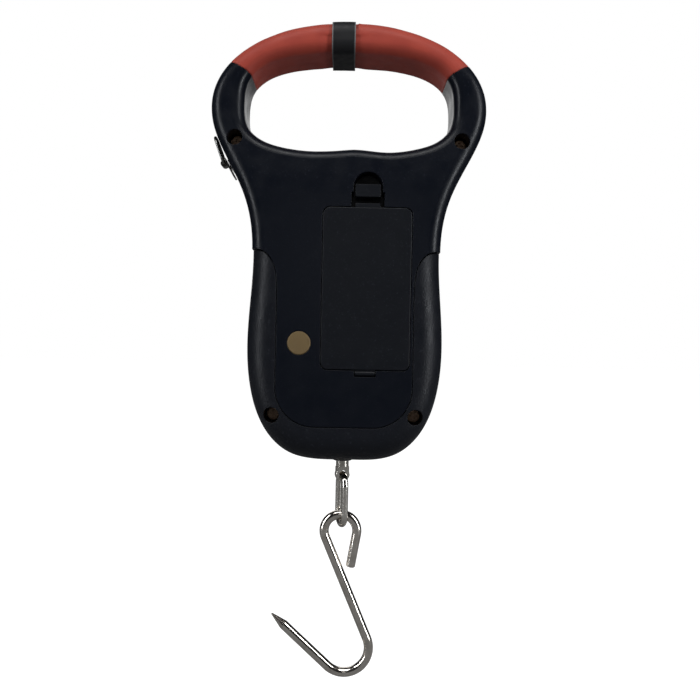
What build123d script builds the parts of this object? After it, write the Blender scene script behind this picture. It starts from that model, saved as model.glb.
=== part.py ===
from build123d import *
from math import acos, atan2, cos, hypot, pi, radians, sin, sqrt, tan
import os

# Hand-held digital fish scale with a D-shaped handle, a swivelling hook and a built-in tape measure.
# Millimetres. +Z is up, the display faces -Y and the battery door faces +Y.
# The origin is the middle of the underside of the handle grip, where the fingers carry the load.

# Casing outline, seen from the front
TOP_Z = 10.3
SHOULDER_Z = -18.7
SHOULDER_HALF = 46.3
SHOULDER_POWER = 2.08
WAIST_Z = -65.2
WAIST_HALF = 31.5
WIDE_Z = -96.0
WIDE_HALF = 32.95
BASE_Z = -136.7
BASE_FLAT_HALF = 7.0
BASE_POWER = 2.46
# How far down the flank each point lies, and how much of the shoulder's extra width is left there
FLANK_SHAPE = ((0.227, 0.831), (0.445, 0.486), (0.70, 0.138))

# Finger opening
OPENING_HALF = 35.1
OPENING_WIDE_Z = -17.2
OPENING_LOW_Z = -33.6
OPENING_HUMP = 0.9
OPENING_TOP_POWER = 2.75
OPENING_LOW_POWER = 3.1

# Casing depth and walls
BODY_DEPTH = 12.5
HANDLE_DEPTH = 10.5
SLOPE_TOP_Z = -18.2
SLOPE_LOW_Z = -48.2
FACE_WALL = 2.4
CAVITY_INSET = 3.0
CASE_ROUND = 4.5
OPENING_ROUND = 3.5
CAVITY_ROUND = 2.0
CAVITY_OPENING_ROUND = 1.0
LOOP_SAMPLES = 44

# Reach past a surface when something is cut, and the slack when an edge is looked for
MARGIN = 10.0
CUT = 1.0
NEAR = 0.01

# Soft grip and its band
GRIP_THICK = 1.4
SEAM_X = 36.0
SEAM_Z = -6.3
SEAM_ANGLE = 31.0
BAND_X = 2.1
BAND_WIDTH = 7.8
BAND_THICK = 0.5

# Bumper round the sides and the base
BUMPER_THICK = 1.2
BUMPER_ROUND = 8.5
BUMPER_TOP_Z = -66.4
PANEL_HALF = 22.5
PANEL_FULL_Z = -82.5
PANEL_LOW_Z = -125.0
PANEL_CORNER = 12.8
BUMPER_GAP = 0.3

# Battery bay and door. Two AAA cells lie side by side.
CELL_RADIUS = 5.25
CELL_LENGTH = 44.5
CELL_GAP = 0.4
BAY_X = -6.9
BAY_Z = -79.25
BAY_LENGTH = 51.5
BAY_WALL = 1.3
DOOR_WIDTH = 29.4
DOOR_LENGTH = 53.7
DOOR_CORNER = 2.5
DOOR_THICK = 2.0
DOOR_GAP = 0.2
LEDGE_THICK = 1.5
TONGUE_WIDTH = 6.7
KNUCKLE_RADIUS = 0.9
KNUCKLE_DROP = 1.1
DOOR_EDGE_ROUND = 0.35
SWING_GAP = 0.2
NOTCH_GAP = 0.25
LATCH_WIDTH = 8.2
LATCH_THICK = 1.1
LATCH_SLOT_WIDTH = 11.0
LATCH_SLOT_LENGTH = 5.0
FINGER_WIDTH = 9.8
FINGER_TOP_Z = -40.6
POCKET_DEPTH = 6.5
TAB_LENGTH = 3.5
TAB_DROP = 0.35
LATCH_FLOOR_GAP = 0.9
LATCH_ROOT_GAP = 0.05
CELL_SEAT_GAP = 0.3
CELL_ROUND = 0.5
NUB_RADIUS = 1.7
NUB_LENGTH = 0.9
CONTACT_THICK = 0.4
CONTACT_REACH = 0.9
SPRING_WIRE = 0.3
SPRING_RADIUS = 2.6
SPRING_TURNS = 4
WIRE_RADIUS = 0.45
WIRE_BEND = 0.9
WIRE_STAND = 1.6
BATTERY_WIRE_IN = 1.0
GAUGE_WIRE_X = 3.0
GAUGE_WIRE_Y = -3.6
GAUGE_WIRE_PITCH = 1.3
GAUGE_WIRE_RISE = 6.2
GAUGE_WIRE_IN = 5.0

# Parking magnet
MAGNET_X = 15.0
MAGNET_Z = -97.5
MAGNET_RADIUS = 4.0
MAGNET_THICK = 3.0
MAGNET_BOSS = 1.4
MAGNET_BEVEL = 0.3

# Casing screws, in wells from the rear
WELLS = ((37.7, -29.7), (23.8, -121.5))
WELL_RADIUS = 2.65
WELL_WALL = 1.2
WELL_FLOOR_Y = 2.0
SCREW_RADIUS = 1.25
SCREW_HEAD_RADIUS = 2.3
SCREW_HEAD_HEIGHT = 1.9
SCREW_REACH = 8.0

# Cross recess and rounded rim of a screw's head, as shares of the head's radius and height
CROSS_SPAN_SHARE = 1.15
CROSS_WIDTH_SHARE = 0.33
CROSS_DEPTH_SHARE = 0.55
HEAD_ROUND_SHARE = 0.35

# Hook stem, its bushing, nut and washer
STEM_RADIUS = 2.2
STEM_CLEARANCE = 0.05
BUSHING_RADIUS = 3.1
BUSHING_FLANGE_RADIUS = 4.6
BUSHING_LIP = 0.7
BUSHING_FLANGE = 1.2
FLAT_TOP_Z = -139.5
EYE_Z = -142.3
EYE_OUTER = 2.4
EYE_HOLE = 1.45
EYE_THICK = 2.6
LINK_YAW = 17.0
NUT_ACROSS = 7.0
NUT_HEIGHT = 3.2
WASHER_RADIUS = 4.2
WASHER_THICK = 0.8
STEM_ABOVE_NUT = 0.7
STEM_BEVEL = 0.4
EYE_ROUND = 0.3

# Load cell: a beam carried at both ends, with the stem through its middle
BEAM_TOP_Z = -112.0
BEAM_HEIGHT = 9.0
BEAM_HALF = 19.0
BEAM_DEPTH = 9.0
BEAM_SCREW_X = 15.5
BEAM_SCREW_RADIUS = 1.5
BEAM_SCREW_HEAD = 2.8
BEAM_SCREW_HEAD_HEIGHT = 2.0
BEAM_POST_RADIUS = 3.3
BEAM_SCREW_END = 0.6
BEAM_ROUND = 0.8
SCREW_END_GAP = 0.2
FLEX_X = 8.0
FLEX_HALF = 3.2
FLEX_WEB = 1.7
GAUGE_LENGTH = 4.0
GAUGE_WIDTH = 5.0
GAUGE_THICK = 0.12

# Link and hook
LINK_WIRE = 1.125
LINK_HALF = 3.8
LINK_LOW_Z = -160.6
HOOK_WIRE = 1.6
HOOK_LOOP_X = 0.2
HOOK_TOP_Z = -154.6
HOOK_LOOP_RADIUS = 5.65
HOOK_SHORT_X = -3.4
HOOK_SHORT_Z = -174.2
HOOK_BEND_X = -1.7
HOOK_BEND_Z = -202.1
HOOK_BEND_RADIUS = 8.5
HOOK_TIP_X = 23.4
HOOK_TIP_Z = -190.8
HOOK_POINT_LENGTH = 5.5
HOOK_POINT_RADIUS = 0.25
HOOK_END_BEVEL = 0.3

# Display, board and buttons
GLASS_WIDTH = 40.0
GLASS_HEIGHT = 25.0
GLASS_Z = -64.2
GLASS_THICK = 1.7
LIGHT_IN = 1.0
STRIP_WIDTH = 1.6
STRIP_IN = 0.4
FRAME_WALL = 1.6
WINDOW_WIDTH = 38.0
WINDOW_HEIGHT = 20.0
WINDOW_THICK = 1.2
WINDOW_LIP = 1.5
WINDOW_CORNER = 2.0
BEZEL_HALF = 22.0
BEZEL_TOP_Z = -48.7
BEZEL_LOW_Z = -100.2
BEZEL_THICK = 0.8
BEZEL_CORNER = 5.0
BEZEL_BEVEL = 0.3
FIT_GAP = 0.1
BOARD_HALF = 23.0
BOARD_TOP_Z = -46.2
BOARD_LOW_Z = -103.2
BOARD_Y = -6.0
BOARD_THICK = 1.2
BOARD_SCREW_X = 20.5
BOARD_SCREW_IN = 3.0
BOARD_SCREW_RADIUS = 1.0
BOARD_SCREW_HEAD = 1.9
BOARD_HEAD_HEIGHT = 1.2
BOARD_POST_RADIUS = 2.2
BOARD_SCREW_END = 0.6
BOARD_CORNER = 2.0
# Chips and small parts: centre x, centre z above the board's middle, width, height and thickness
CHIPS = (
    (-5.0, 7.7, 8.0, 8.0, 1.5),
    (6.5, -6.8, 5.0, 5.0, 1.2),
    (-15.5, -10.5, 3.0, 1.6, 0.8),
    (-15.5, -14.5, 3.0, 1.6, 0.8),
    (13.5, 13.5, 3.0, 1.6, 0.8),
)
# Capacitor: x, z above the board's middle, radius and height
CAPACITOR = (15.5, 4.7, 1.9, 3.2)
BUTTON_X = 14.0
BUTTON_Z = -89.2
BUTTON_RADIUS = 4.5
BUTTON_GAP = 0.15
BUTTON_PROUD = 0.7
BUTTON_FLANGE_RADIUS = 5.4
BUTTON_FLANGE = 0.7
BUTTON_ROUND = 0.6
SWITCH_SIZE = 6.0
SWITCH_HEIGHT = 0.9
PLUNGER_RADIUS = 1.6
PLUNGER_PROUD = 0.4

# Tape measure
REEL_X = 21.2
REEL_Z = -45.2
COIL_RADIUS = 7.4
HUB_RADIUS = 4.0
HUB_BORE = 1.25
HUB_WALL = 0.6
HUB_WEB = 1.2
SPOOL_FLANGE_RADIUS = 8.2
SPOOL_FLANGE = 0.5
SPINDLE_CLEARANCE = 0.05
TAPE_WIDTH = 5.8
TAPE_THICK = 0.14
TAPE_LIFT = 0.3
CASE_RADIUS = 9.4
CASE_WALL = 0.8
CASE_HALF_DEPTH = 4.6
SPOOL_END_GAP = 0.2
MOUTH_HEIGHT = 3.6
MOUTH_WIDTH = 9.0
MOUTH_LENGTH = 5.0
MOUTH_PROUD = 0.3
MOUTH_SLOT = 0.9
MOUTH_FIT = 0.05
SLOT_SIDE_GAP = 0.3
END_TAB_THICK = 0.5
END_TAB_WIDTH = 8.0
END_TAB_UP = 3.6
END_TAB_DOWN = 3.6
END_TAB_GAP = 0.3
RING_WIRE = 0.5
RING_HALF = 3.9
RING_LENGTH = 9.6
RING_STAND = 1.25
RING_HINGE_UP = 2.4
RING_CLEARANCE = 0.08
RING_CORNER = 1.4
RING_LEAN = 8.0
LUG_HALF = 1.5
LUG_WALL = 0.75
RETURN_TURNS = 3.0
RETURN_INNER = 1.7
RETURN_OUTER = 3.1
RETURN_THICK = 0.16
RETURN_SAMPLES = 8


def rounded_quarter(centre, half_x, half_z, power, angles):
    """Points on a rounded corner: an ellipse when power is 2, squarer when it is more."""
    points = []
    for angle in angles:
        c = cos(radians(angle))
        s = sin(radians(angle))
        x = half_x * abs(c) ** (2 / power)
        z = half_z * abs(s) ** (2 / power) * (1 if s >= 0 else -1)
        points.append((centre[0] + x, centre[1] + z))
    return points


def mirrored_loop(bottom, right, top):
    """A closed smooth curve from its right-hand points, which run upward between two axis points."""
    left = [(-x, z) for x, z in reversed(right)]
    return Spline([bottom] + right + [top] + left, periodic=True)


def casing_loop():
    """Outer outline of the casing."""
    curve_half = WIDE_HALF - BASE_FLAT_HALF
    base = rounded_quarter(
        (BASE_FLAT_HALF, WIDE_Z), curve_half, WIDE_Z - BASE_Z, BASE_POWER, (-90, -66, -44, -22, 0)
    )
    flank = [(WAIST_HALF, WAIST_Z)]
    for down, extra in reversed(FLANK_SHAPE):
        z = SHOULDER_Z + down * (WAIST_Z - SHOULDER_Z)
        flank.append((WAIST_HALF + extra * (SHOULDER_HALF - WAIST_HALF), z))
    shoulder = rounded_quarter(
        (0, SHOULDER_Z), SHOULDER_HALF, TOP_Z - SHOULDER_Z, SHOULDER_POWER, (0, 18, 36, 54, 72)
    )
    return mirrored_loop((0, BASE_Z), base + flank + shoulder, (0, TOP_Z))


def opening_loop():
    """Outline of the finger opening."""
    centre = (0, OPENING_WIDE_Z)
    drop = OPENING_WIDE_Z - OPENING_LOW_Z
    low = rounded_quarter(centre, OPENING_HALF, drop, OPENING_LOW_POWER, (-78, -60, -40, -20))
    high = rounded_quarter(centre, OPENING_HALF, -OPENING_WIDE_Z, OPENING_TOP_POWER, (0, 20, 40, 60, 78))
    return mirrored_loop((0, OPENING_LOW_Z + OPENING_HUMP), low + high, (0, 0))


OUTLINE = casing_loop()
OPENING = opening_loop()


def inset(loop, distance):
    """The face inside a loop moved inward by a distance, or outward when it is negative."""
    points = []
    for i in range(LOOP_SAMPLES):
        place = loop.position_at(i / LOOP_SAMPLES)
        along = loop.tangent_at(i / LOOP_SAMPLES)
        points.append((place.X - along.Y * distance, place.Y + along.X * distance))
    return make_face(Spline(points, periodic=True))


def slab(face, y_low, y_high):
    """A face drawn in X and Z, made solid between two depths."""
    return Pos(0, y_high, 0) * extrude(Plane.XZ * face, y_high - y_low)


def side_block(handle_depth, body_depth):
    """Everything behind the parting plane and in front of the casing's rear surface."""
    low = BASE_Z - MARGIN
    high = TOP_Z + MARGIN
    rear = Line((body_depth, low), (body_depth, SLOPE_LOW_Z))
    rear += Spline([(body_depth, SLOPE_LOW_Z), (handle_depth, SLOPE_TOP_Z)], tangents=[(0, 1), (0, 1)])
    rear += Line((handle_depth, SLOPE_TOP_Z), (handle_depth, high))
    rear += Polyline((handle_depth, high), (0, high), (0, low), (body_depth, low))
    return extrude(Plane.YZ * make_face(rear), SHOULDER_HALF + MARGIN, both=True)


def is_opening_edge(edge):
    """True for an edge round the finger opening."""
    middle = edge @ 0.5
    return OPENING.distance_to(Vector(middle.X, middle.Z, 0)) < CAVITY_INSET + CUT


def rear_edges(solid, y):
    """Edges that run round a solid and lie wholly behind a depth."""
    return [e for e in solid.edges().filter_by(Axis.X, reverse=True) if e.bounding_box().min.Y > y]


def half_casing(distance, handle_depth, body_depth, outer_round, opening_round):
    """Rear half of the casing, inset all round by a distance, with rounded rear edges."""
    ring = inset(OUTLINE, distance) - inset(OPENING, -distance)
    half = slab(ring, 0, body_depth + CUT) & side_block(handle_depth, body_depth)
    half = fillet([e for e in rear_edges(half, CUT) if not is_opening_edge(e)], outer_round)
    inner = [e for e in rear_edges(half, CUT) if is_opening_edge(e)]
    return fillet([e for e in inner if e.bounding_box().max.Y > handle_depth - NEAR], opening_round)


def rod(start, end, radius):
    """A round bar between two points."""
    start = Vector(*start)
    axis = Vector(*end) - start
    return Solid.make_cylinder(radius, axis.length, Plane(start, z_dir=axis))


def block(x_low, x_high, y_low, y_high, z_low, z_high):
    """A box between two corners."""
    size = (x_high - x_low, y_high - y_low, z_high - z_low)
    return Pos(x_low, y_low, z_low) * Box(*size, align=(Align.MIN, Align.MIN, Align.MIN))


def both_sides(shape):
    """A rear half and its mirror image in front of the parting plane."""
    return shape + mirror(shape, Plane.XZ)


def grip_zone():
    """The part of the handle above the two seams of the soft grip."""
    slope = tan(radians(SEAM_ANGLE))
    low_z = SEAM_Z - MARGIN / 2
    low_x = SEAM_X - (SEAM_Z - low_z) / slope
    far_x = SHOULDER_HALF + MARGIN
    far_z = SEAM_Z + (far_x - SEAM_X) * slope
    right = [(low_x, low_z), (far_x, far_z), (far_x, far_z + MARGIN)]
    left = [(-x, z) for x, z in reversed(right)]
    depth = BODY_DEPTH + MARGIN
    return slab(make_face(Polyline(right + left, close=True)), -depth, depth)


def panel_face(grow):
    """The smooth rear panel between the arms of the bumper, with the whole casing above it."""
    half = PANEL_HALF + grow
    side = SHOULDER_HALF + MARGIN
    top = TOP_Z + MARGIN
    low = PANEL_LOW_Z - grow
    corner = PANEL_CORNER + grow
    shelf = BUMPER_TOP_Z - grow
    turn = (WAIST_HALF, shelf)
    right = Polyline((0, top), (side, top), (side, shelf), turn)
    right += Spline([turn, (half, PANEL_FULL_Z)], tangents=[(-1, 0), (0, -1)])
    right += Line((half, PANEL_FULL_Z), (half, low + corner))
    right += TangentArc([(half, low + corner), (half - corner, low)], tangent=(0, -1))
    right += Line((half - corner, low), (0, low))
    right += Line((0, low), (0, top))
    face = make_face(right)
    return face + mirror(face, Plane.YZ)


def above_bumper(grow):
    """Everything that the bumper leaves uncovered."""
    depth = BODY_DEPTH + MARGIN
    return slab(panel_face(grow), -depth, depth)


def well_places():
    """Centres of the four casing screws."""
    return [(side * x, z) for x, z in WELLS for side in (1, -1)]


def magnet_place(y):
    return (MAGNET_X, y, MAGNET_Z)


def rounded_slab(x, z, width, height, corner, y_low, y_high):
    """A plate with rounded corners, centred at x and z."""
    return slab(Pos(x, z) * RectangleRounded(width, height, corner), y_low, y_high)


# Derived places
BAY_HALF = 2 * CELL_RADIUS + CELL_GAP * 1.5
CELL_Y = BODY_DEPTH - DOOR_THICK - DOOR_GAP - CELL_RADIUS - CELL_SEAT_GAP
BAY_FLOOR_Y = CELL_Y - CELL_RADIUS - 0.2
LEDGE_Y = BODY_DEPTH - DOOR_THICK - DOOR_GAP / 2
DOOR_TOP_Z = BAY_Z + DOOR_LENGTH / 2
DOOR_LOW_Z = BAY_Z - DOOR_LENGTH / 2
HINGE_Z = DOOR_LOW_Z - KNUCKLE_DROP
HINGE_Y = LEDGE_Y + DOOR_GAP / 2 + KNUCKLE_RADIUS
SWING_RADIUS = hypot(KNUCKLE_DROP - DOOR_GAP, BODY_DEPTH - HINGE_Y) + SWING_GAP
SPOOL_HALF = CASE_HALF_DEPTH - CASE_WALL - SPOOL_END_GAP
SLOT_TOP_Z = DOOR_TOP_Z + LATCH_SLOT_LENGTH
BEAM_LOW_Z = BEAM_TOP_Z - BEAM_HEIGHT
BEAM_Z = BEAM_TOP_Z - BEAM_HEIGHT / 2
BASE_INSIDE_Z = BASE_Z + CAVITY_INSET
HOOK_LOOP_Z = HOOK_TOP_Z - HOOK_WIRE - HOOK_LOOP_RADIUS
FRONT_INSIDE_Y = FACE_WALL - BODY_DEPTH
TAPE_Z = REEL_Z + COIL_RADIUS + TAPE_LIFT


def casing_edge_at(z):
    """Point on the right-hand side of the outline at a height, with the direction up along it."""
    low = 0.0
    high = 0.5
    for _ in range(40):
        middle = (low + high) / 2
        if OUTLINE.position_at(middle).Y < z:
            low = middle
        else:
            high = middle
    return OUTLINE.position_at(low), OUTLINE.tangent_at(low)


MOUTH_POINT, MOUTH_UP = casing_edge_at(TAPE_Z)
MOUTH_OUT = Vector(MOUTH_UP.Y, 0, -MOUTH_UP.X)
MOUTH_ALONG = Vector(MOUTH_UP.X, 0, MOUTH_UP.Y)
MOUTH_PLANE = Plane(origin=(MOUTH_POINT.X, 0, MOUTH_POINT.Y), x_dir=(0, 1, 0), z_dir=MOUTH_OUT)



def grown_casing(grow):
    """Rear half of the casing with its whole surface moved outward, or inward when grow is negative."""
    return half_casing(-grow, HANDLE_DEPTH + grow, BODY_DEPTH + grow, CASE_ROUND + grow, OPENING_ROUND + grow)


FULL = grown_casing(0)
CORE = grown_casing(-GRIP_THICK)
CAVITY = half_casing(
    CAVITY_INSET, HANDLE_DEPTH - CAVITY_INSET, BODY_DEPTH - FACE_WALL, CAVITY_ROUND, CAVITY_OPENING_ROUND
)


def lower_half(distance, depth, rounding):
    """Rear half of the body below the handle, inset all round by a distance."""
    body = slab(inset(OUTLINE, distance), 0, depth)
    body = body & block(-SHOULDER_HALF, SHOULDER_HALF, -CUT, depth + CUT, BASE_Z - CUT, SLOPE_LOW_Z)
    return fillet(rear_edges(body, depth - NEAR), rounding)


BUMPER_BODY = lower_half(0, BODY_DEPTH, BUMPER_ROUND)
BUMPER_BASE = lower_half(BUMPER_THICK, BODY_DEPTH - BUMPER_THICK, BUMPER_ROUND - BUMPER_THICK)
LOW_CAVITY = lower_half(CAVITY_INSET, BODY_DEPTH - FACE_WALL, BUMPER_ROUND - FACE_WALL)


def tape_mouth_hole(grow):
    """Room for the mouth of the tape through the side wall."""
    height = MOUTH_HEIGHT / 2 + grow
    width = MOUTH_WIDTH / 2 + grow
    return block(
        MOUTH_POINT.X - MOUTH_LENGTH, MOUTH_POINT.X + MARGIN, -width, width, TAPE_Z - height, TAPE_Z + height
    )


def half_shell():
    """Hollow rear half with the seats of the grip and the bumper, before anything is fitted."""
    zone = grip_zone()
    clear = above_bumper(0)
    upper = (FULL - zone) & clear
    shell = upper + (CORE & zone) + (BUMPER_BASE - clear)
    low_top = BUMPER_TOP_Z - BUMPER_THICK
    low_zone = block(-SHOULDER_HALF, SHOULDER_HALF, -CUT, BODY_DEPTH, BASE_Z - CUT, low_top)
    shell = shell - (CAVITY - low_zone) - (LOW_CAVITY & low_zone)
    shell -= rod((0, 0, BASE_Z - CUT), (0, 0, BASE_INSIDE_Z + CUT), BUSHING_RADIUS)
    shell -= tape_mouth_hole(0)
    return shell


def bay_block(half, y_low, y_high, z_low, z_high):
    """A box centred across the battery bay."""
    return block(BAY_X - half, BAY_X + half, y_low, y_high, z_low, z_high)


def battery_bay(shell):
    """Adds the walls of the battery bay and cuts the seats of the door and its latch."""
    tall = BAY_LENGTH / 2
    rim_width = DOOR_WIDTH + 2 * LEDGE_THICK
    rim_length = DOOR_LENGTH + 2 * LEDGE_THICK
    pocket_half = LATCH_SLOT_WIDTH / 2 + BAY_WALL
    pocket_low = BODY_DEPTH - POCKET_DEPTH - BAY_WALL
    notch_half = TONGUE_WIDTH / 2 + NOTCH_GAP
    notch_low = HINGE_Z - KNUCKLE_RADIUS - NOTCH_GAP
    open_y = BODY_DEPTH + CUT
    ledge_low = LEDGE_Y - LEDGE_THICK
    box_tall = tall + BAY_WALL
    box_low = BAY_FLOOR_Y - BAY_WALL
    shell += bay_block(BAY_HALF + BAY_WALL, box_low, LEDGE_Y, BAY_Z - box_tall, BAY_Z + box_tall)
    shell += rounded_slab(BAY_X, BAY_Z, rim_width, rim_length, DOOR_CORNER, ledge_low, LEDGE_Y)
    shell += bay_block(pocket_half, pocket_low, BODY_DEPTH - FACE_WALL, DOOR_TOP_Z, FINGER_TOP_Z + BAY_WALL)
    shell += bay_block(notch_half + BAY_WALL, ledge_low, LEDGE_Y, notch_low - BAY_WALL, DOOR_LOW_Z)
    shell -= bay_block(BAY_HALF, BAY_FLOOR_Y, open_y, BAY_Z - tall, BAY_Z + tall)
    shell -= rounded_slab(
        BAY_X, BAY_Z, DOOR_WIDTH + 2 * DOOR_GAP, DOOR_LENGTH + 2 * DOOR_GAP, DOOR_CORNER, LEDGE_Y, open_y
    )
    shell -= latch_pocket()
    return shell - bay_block(notch_half, LEDGE_Y, open_y, notch_low, DOOR_LOW_Z)


def latch_pocket():
    """The slot that the latch flexes in, with a round-topped recess for a finger above it."""
    floor = BODY_DEPTH - POCKET_DEPTH
    open_y = BODY_DEPTH + CUT
    radius = FINGER_WIDTH / 2
    centre_z = FINGER_TOP_Z - radius
    slot = bay_block(LATCH_SLOT_WIDTH / 2, floor, open_y, DOOR_TOP_Z - NEAR, SLOT_TOP_Z)
    recess = bay_block(radius, floor, open_y, SLOT_TOP_Z, centre_z)
    return slot + recess + rod((BAY_X, floor, centre_z), (BAY_X, open_y, centre_z), radius)


def make_rear_shell():
    """Rear casing half, with the battery bay, the magnet's boss, the screw wells and the beam posts."""
    shell = battery_bay(half_shell())
    seat_y = BODY_DEPTH - MAGNET_THICK
    inside_y = BODY_DEPTH - FACE_WALL
    shell += rod(magnet_place(seat_y - MAGNET_BOSS), magnet_place(inside_y), MAGNET_RADIUS + MAGNET_BOSS)
    shell -= rod(magnet_place(seat_y), magnet_place(BODY_DEPTH + CUT), MAGNET_RADIUS)
    for x, z in well_places():
        tube = rod((x, 0, z), (x, BODY_DEPTH, z), WELL_RADIUS + WELL_WALL)
        shell += tube & (BUMPER_BASE if z < BUMPER_TOP_Z else FULL)
        shell -= rod((x, WELL_FLOOR_Y, z), (x, BODY_DEPTH + CUT, z), WELL_RADIUS)
        shell -= rod((x, 0, z), (x, BODY_DEPTH, z), SCREW_RADIUS)
    for side in (1, -1):
        x = side * BEAM_SCREW_X
        shell += rod((x, BEAM_DEPTH / 2, BEAM_Z), (x, inside_y, BEAM_Z), BEAM_POST_RADIUS)
        shell -= rod((x, 0, BEAM_Z), (x, inside_y - BEAM_SCREW_END, BEAM_Z), BEAM_SCREW_RADIUS)
    return shell


def button_places():
    """Centres of the three buttons, from left to right."""
    return {"unit_button": -BUTTON_X, "power_button": 0.0, "tare_button": BUTTON_X}


def board_screw_places():
    return [
        (side * BOARD_SCREW_X, z)
        for z in (BOARD_TOP_Z - BOARD_SCREW_IN, BOARD_LOW_Z + BOARD_SCREW_IN)
        for side in (1, -1)
    ]


def window_slab(lip, y_low, y_high):
    """A plate as large as the window's opening with a lip all round it."""
    corner = WINDOW_CORNER + lip / 2
    return rounded_slab(0, GLASS_Z, WINDOW_WIDTH + 2 * lip, WINDOW_HEIGHT + 2 * lip, corner, y_low, y_high)


def make_front_shell():
    """Front casing half, with the display opening, the button holes and the posts behind them."""
    shell = mirror(half_shell(), Plane.XZ)
    board_front = BOARD_Y - BOARD_THICK
    board_screw_low = FRONT_INSIDE_Y + BOARD_SCREW_END - SCREW_END_GAP
    screw_end = WELL_FLOOR_Y - SCREW_REACH - SCREW_END_GAP
    front = -BODY_DEPTH - CUT
    back = FRONT_INSIDE_Y + CUT
    for x, z in well_places():
        post = rod((x, -BODY_DEPTH, z), (x, 0, z), WELL_RADIUS + WELL_WALL)
        shell += post & mirror(BUMPER_BASE if z < BUMPER_TOP_Z else FULL, Plane.XZ)
        shell -= rod((x, WELL_FLOOR_Y, z), (x, screw_end, z), SCREW_RADIUS)
    for x, z in board_screw_places():
        shell += rod((x, board_front, z), (x, FRONT_INSIDE_Y - BOARD_SCREW_END, z), BOARD_POST_RADIUS)
        shell -= rod((x, board_front + CUT, z), (x, board_screw_low, z), BOARD_SCREW_RADIUS)
    shell -= rounded_slab(0, GLASS_Z, WINDOW_WIDTH, WINDOW_HEIGHT, WINDOW_CORNER, front, back)
    shell -= window_slab(WINDOW_LIP, front, -BODY_DEPTH + WINDOW_THICK)
    for x in button_places().values():
        shell -= rod((x, front, BUTTON_Z), (x, back, BUTTON_Z), BUTTON_RADIUS + BUTTON_GAP)
    return shell


def make_bumper():
    """Rear half of the textured bumper that wraps the sides and the base."""
    bumper = BUMPER_BODY - above_bumper(BUMPER_GAP) - BUMPER_BASE
    bumper -= rod((0, 0, BASE_Z - CUT), (0, 0, BASE_INSIDE_Z), BUSHING_RADIUS)
    return bumper


def bored_bumper():
    """The rear bumper, pierced for the two lower screw wells."""
    bumper = make_bumper()
    for x, z in well_places():
        if z < BUMPER_TOP_Z:
            bumper -= rod((x, 0, z), (x, BODY_DEPTH + CUT, z), WELL_RADIUS)
    return bumper


def make_handle_grip():
    """Soft sleeve moulded round the top of the handle."""
    return both_sides(FULL & grip_zone()) - both_sides(CORE & grip_zone())


def make_grip_band():
    """Thin sheet wrapped once round the middle of the grip."""
    half = BAND_WIDTH / 2
    strip = block(BAND_X - half, BAND_X + half, -MARGIN * 2, MARGIN * 2, SEAM_Z, TOP_Z + MARGIN)
    return both_sides(grown_casing(BAND_THICK) & strip) - both_sides(FULL & strip)


def make_screw(start, out, radius, length, head_radius, head_height):
    """A pan-head screw with a cross recess; start is under the head and out points out of the head."""
    start = Vector(*start)
    out = Vector(*out)
    plane = Plane(start, z_dir=out)
    head = Solid.make_cylinder(head_radius, head_height, plane)
    rim = head.edges().sort_by(lambda e: (e.center() - start).dot(out))[-1]
    head = fillet(rim, head_height * HEAD_ROUND_SHARE)
    shaft = Solid.make_cylinder(radius, length, Plane(start, z_dir=out * -1))
    span = head_radius * CROSS_SPAN_SHARE
    depth = head_height * CROSS_DEPTH_SHARE
    width = head_radius * CROSS_WIDTH_SHARE
    bar = Box(span, width, depth * 2) + Box(width, span, depth * 2)
    top = Plane(start + out * head_height, x_dir=plane.x_dir, z_dir=out)
    return head + shaft - top.location * bar


def make_casing_screws():
    size = (SCREW_RADIUS, SCREW_REACH, SCREW_HEAD_RADIUS, SCREW_HEAD_HEIGHT)
    return [make_screw((x, WELL_FLOOR_Y, z), (0, 1, 0), *size) for x, z in well_places()]


def hinge_rod(half, radius):
    """A round bar on the door's hinge axis."""
    return rod((BAY_X - half, HINGE_Y, HINGE_Z), (BAY_X + half, HINGE_Y, HINGE_Z), radius)


def make_battery_door():
    """Flat door with a rounded rear rim and a hinge tongue at its lower edge."""
    inner_y = BODY_DEPTH - DOOR_THICK
    door = rounded_slab(BAY_X, BAY_Z, DOOR_WIDTH, DOOR_LENGTH, DOOR_CORNER, inner_y, BODY_DEPTH)
    rim = [e for e in door.edges() if e.bounding_box().min.Y > BODY_DEPTH - NEAR]
    door = fillet(rim, DOOR_EDGE_ROUND)
    door -= hinge_rod(DOOR_WIDTH, SWING_RADIUS)
    half = TONGUE_WIDTH / 2
    web_half = KNUCKLE_RADIUS / sqrt(2)
    web = bay_block(half, HINGE_Y - web_half, HINGE_Y + web_half, HINGE_Z, HINGE_Z + SWING_RADIUS + CUT)
    return door + hinge_rod(half, KNUCKLE_RADIUS) + web


def latch_bow(half, y_low, y_high, middle_z, radius):
    """A round-bottomed block that is open towards the rear."""
    bottom = rod((BAY_X - half, y_low, middle_z), (BAY_X + half, y_low, middle_z), radius)
    return bottom + bay_block(half, y_low, y_high, middle_z - radius, middle_z + radius)


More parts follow.
